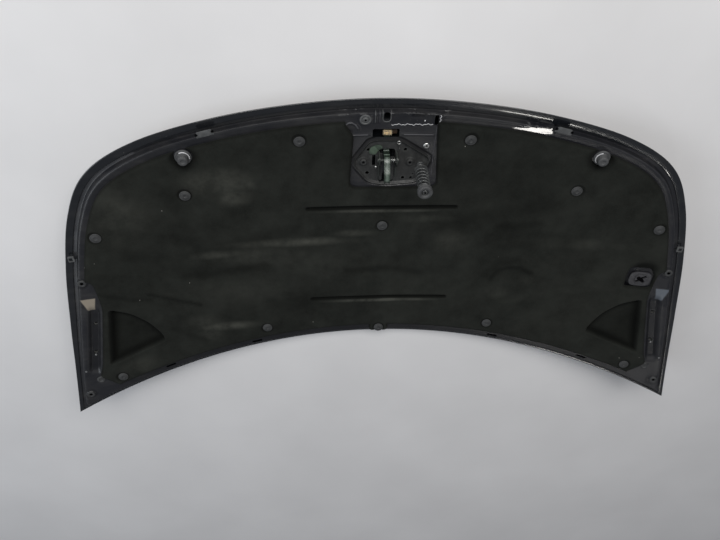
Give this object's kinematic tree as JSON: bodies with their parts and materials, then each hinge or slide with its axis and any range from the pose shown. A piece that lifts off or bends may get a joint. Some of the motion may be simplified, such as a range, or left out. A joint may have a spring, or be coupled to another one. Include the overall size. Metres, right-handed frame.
{
  "type": "car bonnet",
  "caption": "Car bonnet seen from its underside: hemmed steel skin and stamped inner panel with an insulating pad, rubber bumpers and a safety catch with a pop-up spring.",
  "frame": {"origin": "below the middle of the outline, at the height of the lowest point of the skin, which is its crown", "axes": "the bonnet lies underside up: +X runs across the car, +Y points to the front edge, +Z points out of the underside"},
  "size_m": [1.45, 0.75, 0.1168],
  "materials": {
    "paint": "gloss",
    "panel_paint": "gloss",
    "felt": "matt felt",
    "clip_plastic": "matt",
    "rubber": "matt",
    "coated_steel": "satin",
    "zinc": "satin",
    "yellow_zinc": "satin"
  },
  "bodies": {
    "bonnet": {"outer_skin": "paint", "inner_panel": "panel_paint", "insulator_pad": "felt", "clip_left_front": "clip_plastic", "clip_right_front": "clip_plastic", "clip_left_side": "clip_plastic", "clip_right_side": "clip_plastic", "clip_left_top": "clip_plastic", "clip_right_top": "clip_plastic", "clip_left_rear": "clip_plastic", "clip_right_rear": "clip_plastic", "clip_left_corner": "clip_plastic", "clip_right_corner": "clip_plastic", "clip_centre": "clip_plastic", "clip_rear_centre": "clip_plastic", "bumper_insert_left": "clip_plastic", "bumper_insert_right": "clip_plastic", "bumper_left": "rubber", "bumper_right": "rubber", "hinge_reinforcement_left": "coated_steel", "hinge_reinforcement_right": "coated_steel", "hinge_nut_left_1": "zinc", "hinge_nut_left_2": "zinc", "hinge_nut_right_1": "zinc", "hinge_nut_right_2": "zinc", "latch_plate": "coated_steel", "latch_bolt_1": "coated_steel", "latch_bolt_2": "coated_steel", "pivot_pin": "zinc", "hook_spring": "zinc", "striker_pin": "zinc", "buffer_spring": "coated_steel", "prop_rod_socket": "clip_plastic", "locating_plug": "clip_plastic", "earth_rivet": "zinc"},
    "hook": {"safety_hook": "coated_steel", "release_tab": "yellow_zinc"},
    "cup": {"spring_cup": "rubber"}
  },
  "joints": [
    {"name": "hook_pivot", "type": "hinge", "parent": "bonnet", "child": "hook", "pos_m": [0.004, 0.25653, 0.04578], "axis": [1, 0, 0], "range_deg": [-7, 0], "stiffness_Nm_per_rad": 0.5},
    {"name": "cup_slide", "type": "slide", "parent": "bonnet", "child": "cup", "axis": [0, 0.2075, -0.9782], "range_m": [0, 0.02], "stiffness_N_per_m": 3000, "deforming": ["buffer_spring"]}
  ]
}
